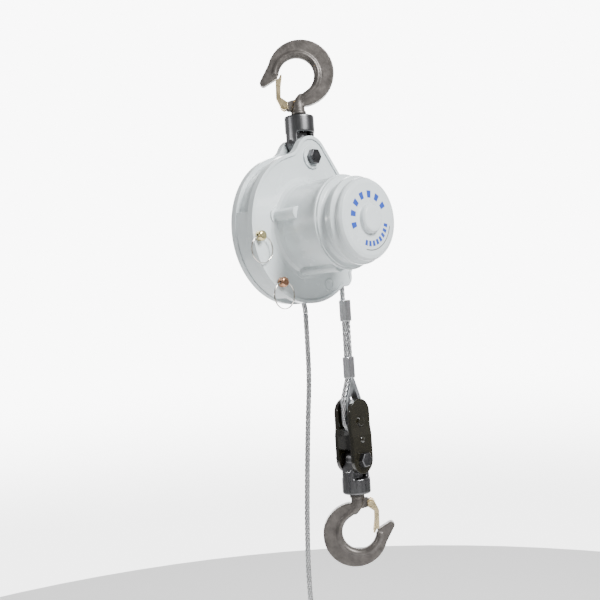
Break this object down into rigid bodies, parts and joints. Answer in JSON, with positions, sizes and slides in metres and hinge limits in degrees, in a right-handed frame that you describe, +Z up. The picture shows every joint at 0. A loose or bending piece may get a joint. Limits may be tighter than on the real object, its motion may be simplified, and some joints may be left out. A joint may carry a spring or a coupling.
{
  "type": "wire rope puller",
  "caption": "Hanging wire rope puller: traction sheave in a round two-plate casing, planetary gear drum with load brake, hex drive, swivel hooks with latches.",
  "frame": {"origin": "seat of the top hook's bowl, where the puller hangs", "axes": "+Z up along the hanging line, -Y towards the brake cover, +X towards the load line"},
  "size_m": [0.1616, 0.145, 0.6723],
  "materials": {
    "forged_steel": "rough",
    "dark_steel": "satin",
    "grey_paint": "gloss",
    "black_bolt": "satin",
    "black_gloss": "gloss",
    "yellow_zinc": "satin",
    "brass": "satin",
    "copper": "satin",
    "nickel": "polished",
    "wire_rope": "satin",
    "aluminium": "satin",
    "galvanised": "satin",
    "tie_strap": "matt",
    "nylon": "matt",
    "bronze": "satin",
    "friction_lining": "matt",
    "steel": "satin"
  },
  "bodies": {
    "top_hook": {"top_hook": "forged_steel", "top_hook_nut": "dark_steel", "top_latch_pin": "yellow_zinc"},
    "top_latch": {"top_latch": "yellow_zinc"},
    "top_yoke": {"top_yoke": "dark_steel"},
    "casing": {"front_casing": "grey_paint", "rear_casing": "grey_paint", "brake_cover": "grey_paint", "casing_screws": "black_bolt", "ear_bolt": "black_bolt", "ear_nut": "black_bolt", "rope_guide": "grey_paint", "roller_pin": "steel", "sheave_bearings": "steel", "ring_gear": "steel", "ring_gear_keys": "steel", "input_bushes": "bronze", "brake_plate": "steel", "rope_on_sheave": "wire_rope", "rope_tail": "wire_rope", "rope_coil": "wire_rope", "coil_ties": "tie_strap", "rope_end": "aluminium"},
    "pressure_roller": {"pressure_roller": "nylon"},
    "guide_pin_upper": {"guide_pin_upper": "brass"},
    "guide_ring_upper": {"guide_ring_upper": "nickel"},
    "guide_pin_lower": {"guide_pin_lower": "copper"},
    "guide_ring_lower": {"guide_ring_lower": "nickel"},
    "sheave": {"sheave": "steel", "output_carrier": "steel"},
    "input_carrier": {"input_carrier": "steel", "output_sun": "steel"},
    "input_shaft": {"input_shaft": "steel", "input_sun": "steel", "friction_discs": "friction_lining", "brake_driver": "steel"},
    "ratchet_wheel": {"ratchet_wheel": "steel"},
    "pawl_right": {"pawl_right": "steel"},
    "pawl_left": {"pawl_left": "steel"},
    "load_line": {"load_rope": "wire_rope", "ferrules": "aluminium", "thimble": "galvanised"},
    "link": {"link_plate_front": "black_gloss", "link_plate_rear": "black_gloss", "thimble_pin": "black_gloss", "link_bolt": "black_bolt", "link_nut": "black_bolt"},
    "lower_yoke": {"lower_yoke": "dark_steel"},
    "lower_hook": {"lower_hook": "forged_steel", "lower_hook_nut": "dark_steel", "lower_latch_pin": "yellow_zinc"},
    "lower_latch": {"lower_latch": "yellow_zinc"},
    "output_planet_1": {"output_planet_1": "steel"},
    "output_planet_2": {"output_planet_2": "steel"},
    "output_planet_3": {"output_planet_3": "steel"},
    "input_planet_1": {"input_planet_1": "steel"},
    "input_planet_2": {"input_planet_2": "steel"},
    "input_planet_3": {"input_planet_3": "steel"}
  },
  "joints": [
    {"name": "top_hook_swivel", "type": "hinge", "parent": "top_hook", "child": "top_yoke", "pos_m": [0, 0, -0.0956], "axis": [0, 0, 1], "continuous": true},
    {"name": "casing_swing", "type": "hinge", "parent": "top_yoke", "child": "casing", "pos_m": [0, 0, -0.0956], "axis": [0, 1, 0], "range_deg": [-15, 15]},
    {"name": "top_latch_swing", "type": "hinge", "parent": "top_hook", "child": "top_latch", "pos_m": [-0.00848, 0.00848, -0.0446], "axis": [0.7071, 0.7071, 0], "range_deg": [0, 35], "stiffness_Nm_per_rad": 0.02, "springref_deg": -20.05},
    {"name": "guide_pin_upper_pull", "type": "slide", "parent": "casing", "child": "guide_pin_upper", "axis": [0, -1, 0], "range_m": [0, 0.03]},
    {"name": "guide_ring_upper_swing", "type": "hinge", "parent": "guide_pin_upper", "child": "guide_ring_upper", "pos_m": [-0.07349, -0.017, -0.17], "axis": [-1, 0, 0], "range_deg": [0, 90]},
    {"name": "guide_pin_lower_pull", "type": "slide", "parent": "casing", "child": "guide_pin_lower", "axis": [0, -1, 0], "range_m": [0, 0.03]},
    {"name": "guide_ring_lower_swing", "type": "hinge", "parent": "guide_pin_lower", "child": "guide_ring_lower", "pos_m": [-0.05022, -0.017, -0.2113], "axis": [-1, 0, 0], "range_deg": [0, 90]},
    {"name": "sheave_spin", "type": "hinge", "parent": "casing", "child": "sheave", "pos_m": [-0.011, 0, -0.162], "axis": [0, -1, 0], "continuous": true},
    {"name": "pressure_roller_spin", "type": "hinge", "parent": "casing", "child": "pressure_roller", "pos_m": [-0.06731, 0, -0.19069], "axis": [0, -1, 0], "continuous": true},
    {"name": "input_carrier_spin", "type": "hinge", "parent": "casing", "child": "input_carrier", "pos_m": [-0.011, 0, -0.162], "axis": [0, -1, 0], "continuous": true},
    {"name": "input_shaft_spin", "type": "hinge", "parent": "casing", "child": "input_shaft", "pos_m": [-0.011, 0, -0.162], "axis": [0, -1, 0], "continuous": true},
    {"name": "output_planet_1_spin", "type": "hinge", "parent": "sheave", "child": "output_planet_1", "pos_m": [0.00775, 0, -0.162], "axis": [0, -1, 0], "continuous": true},
    {"name": "output_planet_2_spin", "type": "hinge", "parent": "sheave", "child": "output_planet_2", "pos_m": [-0.02038, 0, -0.14576], "axis": [0, -1, 0], "continuous": true},
    {"name": "output_planet_3_spin", "type": "hinge", "parent": "sheave", "child": "output_planet_3", "pos_m": [-0.02038, 0, -0.17824], "axis": [0, -1, 0], "continuous": true},
    {"name": "input_planet_1_spin", "type": "hinge", "parent": "input_carrier", "child": "input_planet_1", "pos_m": [0.00775, 0, -0.162], "axis": [0, -1, 0], "continuous": true},
    {"name": "input_planet_2_spin", "type": "hinge", "parent": "input_carrier", "child": "input_planet_2", "pos_m": [-0.02038, 0, -0.14576], "axis": [0, -1, 0], "continuous": true},
    {"name": "input_planet_3_spin", "type": "hinge", "parent": "input_carrier", "child": "input_planet_3", "pos_m": [-0.02038, 0, -0.17824], "axis": [0, -1, 0], "continuous": true},
    {"name": "ratchet_spin", "type": "hinge", "parent": "casing", "child": "ratchet_wheel", "pos_m": [-0.011, 0, -0.162], "axis": [0, -1, 0], "continuous": true},
    {"name": "pawl_right_lift", "type": "hinge", "parent": "casing", "child": "pawl_right", "pos_m": [0.0112, 0, -0.1806], "axis": [0, 1, 0], "range_deg": [0, 12], "stiffness_Nm_per_rad": 0.01, "springref_deg": -17.19},
    {"name": "pawl_left_lift", "type": "hinge", "parent": "casing", "child": "pawl_left", "pos_m": [-0.0332, 0, -0.1434], "axis": [0, 1, 0], "range_deg": [0, 12], "stiffness_Nm_per_rad": 0.01, "springref_deg": -17.19},
    {"name": "load_line_travel", "type": "slide", "parent": "casing", "child": "load_line", "axis": [0, 0, -1], "range_m": [0, 0.035]},
    {"name": "link_swing", "type": "hinge", "parent": "load_line", "child": "link", "pos_m": [0.0476, 0, -0.35], "axis": [0, 1, 0], "range_deg": [-15, 5]},
    {"name": "lower_yoke_swing", "type": "hinge", "parent": "link", "child": "lower_yoke", "pos_m": [0.0476, 0, -0.3875], "axis": [0, 1, 0], "range_deg": [-20, 12]},
    {"name": "lower_hook_swivel", "type": "hinge", "parent": "lower_yoke", "child": "lower_hook", "pos_m": [0.0476, 0, -0.417], "axis": [0, 0, 1], "continuous": true},
    {"name": "lower_latch_swing", "type": "hinge", "parent": "lower_hook", "child": "lower_latch", "pos_m": [0.05609, -0.00848, -0.4315], "axis": [0.7071, 0.7071, 0], "range_deg": [0, 35], "stiffness_Nm_per_rad": 0.02, "springref_deg": -20.05}
  ],
  "couplings": [
    {"joint": "pressure_roller_spin", "follows": "sheave_spin", "ratio": -13},
    {"joint": "input_carrier_spin", "follows": "sheave_spin", "ratio": 5},
    {"joint": "input_shaft_spin", "follows": "sheave_spin", "ratio": 25},
    {"joint": "output_planet_1_spin", "follows": "sheave_spin", "ratio": -2.6667},
    {"joint": "output_planet_2_spin", "follows": "sheave_spin", "ratio": -2.6667},
    {"joint": "output_planet_3_spin", "follows": "sheave_spin", "ratio": -2.6667},
    {"joint": "input_planet_1_spin", "follows": "sheave_spin", "ratio": -13.333},
    {"joint": "input_planet_2_spin", "follows": "sheave_spin", "ratio": -13.333},
    {"joint": "input_planet_3_spin", "follows": "sheave_spin", "ratio": -13.333}
  ]
}
